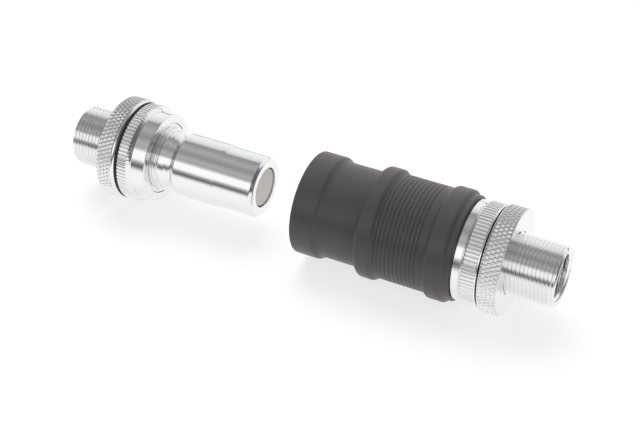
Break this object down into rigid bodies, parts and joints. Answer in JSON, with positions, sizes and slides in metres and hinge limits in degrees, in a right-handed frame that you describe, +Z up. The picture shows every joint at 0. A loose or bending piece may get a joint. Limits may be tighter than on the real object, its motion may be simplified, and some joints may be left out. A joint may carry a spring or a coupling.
{
  "type": "liquid cooling quick coupling",
  "caption": "Two-part quick coupling for coolant: a plug with a stepped nipple, and a socket with a dark grip sleeve, ball lock and self-closing valves; lock nuts and threaded tails.",
  "frame": {"origin": "under the middle of the pair, on the surface that the sleeve's beads touch", "axes": "+X along the common axis from the plug to the socket's tail, +Z up, with the pair lying on its side"},
  "size_m": [0.135, 0.0288, 0.0288],
  "materials": {
    "chrome": "bright polished plating",
    "anodised": "satin dark anodised",
    "steel": "plain",
    "rubber": "smooth",
    "ivory": "satin"
  },
  "bodies": {
    "socket": {"socket_body": "chrome", "socket_tail": "chrome", "sleeve_spring": "steel", "retaining_ring": "steel", "bore_seal": "rubber", "valve_stem": "chrome", "stem_seal": "rubber", "valve_spring": "steel", "stem_holder": "steel", "body_seal": "rubber"},
    "sleeve": {"socket_sleeve": "anodised"},
    "ball_1": {"locking_ball_1": "steel"},
    "ball_2": {"locking_ball_2": "steel"},
    "ball_3": {"locking_ball_3": "steel"},
    "ball_4": {"locking_ball_4": "steel"},
    "ball_5": {"locking_ball_5": "steel"},
    "ball_6": {"locking_ball_6": "steel"},
    "valve": {"valve_sleeve": "steel"},
    "socket_gasket": {"socket_gasket": "rubber"},
    "socket_nut": {"socket_lock_nut": "chrome"},
    "plug": {"plug_nipple": "chrome", "plug_tail": "chrome", "poppet_spring": "steel", "poppet_guide": "steel", "plug_body_seal": "rubber"},
    "poppet": {"plug_poppet": "ivory", "poppet_seal": "rubber"},
    "plug_gasket": {"plug_gasket": "rubber"},
    "plug_nut": {"plug_lock_nut": "chrome"}
  },
  "joints": [
    {"name": "plug_insert", "type": "slide", "parent": "socket", "child": "plug", "axis": [1, 0, 0], "range_m": [0, 0.0438]},
    {"name": "sleeve_slide", "type": "slide", "parent": "socket", "child": "sleeve", "axis": [1, 0, 0], "range_m": [-0.0032, 0], "deforming": ["sleeve_spring"]},
    {"name": "ball_1_slide", "type": "slide", "parent": "socket", "child": "ball_1", "axis": [0, 0, -1], "range_m": [0, 0.00112]},
    {"name": "ball_2_slide", "type": "slide", "parent": "socket", "child": "ball_2", "axis": [0, 0.866, -0.5], "range_m": [0, 0.00112]},
    {"name": "ball_3_slide", "type": "slide", "parent": "socket", "child": "ball_3", "axis": [0, 0.866, 0.5], "range_m": [0, 0.00112]},
    {"name": "ball_4_slide", "type": "slide", "parent": "socket", "child": "ball_4", "axis": [0, 0, 1], "range_m": [0, 0.00112]},
    {"name": "ball_5_slide", "type": "slide", "parent": "socket", "child": "ball_5", "axis": [0, -0.866, 0.5], "range_m": [0, 0.00112]},
    {"name": "ball_6_slide", "type": "slide", "parent": "socket", "child": "ball_6", "axis": [0, -0.866, -0.5], "range_m": [0, 0.00112]},
    {"name": "valve_slide", "type": "slide", "parent": "socket", "child": "valve", "axis": [1, 0, 0], "range_m": [0, 0.005], "deforming": ["valve_spring"]},
    {"name": "poppet_slide", "type": "slide", "parent": "plug", "child": "poppet", "axis": [-1, 0, 0], "range_m": [0, 0.0046], "deforming": ["poppet_spring"]},
    {"name": "socket_gasket_slide", "type": "slide", "parent": "socket", "child": "socket_gasket", "axis": [1, 0, 0], "range_m": [0, 0.01]},
    {"name": "socket_nut_turn", "type": "hinge", "parent": "socket_gasket", "child": "socket_nut", "pos_m": [0.05284, 0, 0.0144], "axis": [1, 0, 0], "range_deg": [0, 3600]},
    {"name": "plug_gasket_slide", "type": "slide", "parent": "plug", "child": "plug_gasket", "axis": [-1, 0, 0], "range_m": [0, 0.01]},
    {"name": "plug_nut_turn", "type": "hinge", "parent": "plug_gasket", "child": "plug_nut", "pos_m": [-0.05344, 0, 0.0144], "axis": [-1, 0, 0], "range_deg": [0, 3600]}
  ],
  "couplings": [
    {"joint": "ball_1_slide", "follows": "sleeve_slide", "ratio": -0.35},
    {"joint": "ball_2_slide", "follows": "sleeve_slide", "ratio": -0.35},
    {"joint": "ball_3_slide", "follows": "sleeve_slide", "ratio": -0.35},
    {"joint": "ball_4_slide", "follows": "sleeve_slide", "ratio": -0.35},
    {"joint": "ball_5_slide", "follows": "sleeve_slide", "ratio": -0.35},
    {"joint": "ball_6_slide", "follows": "sleeve_slide", "ratio": -0.35},
    {"joint": "valve_slide", "follows": "plug_insert", "ratio": 0.11415},
    {"joint": "poppet_slide", "follows": "plug_insert", "ratio": 0.10502},
    {"joint": "socket_gasket_slide", "follows": "socket_nut_turn", "m_per_rad": 0.00015915},
    {"joint": "plug_gasket_slide", "follows": "plug_nut_turn", "m_per_rad": 0.00015915}
  ]
}
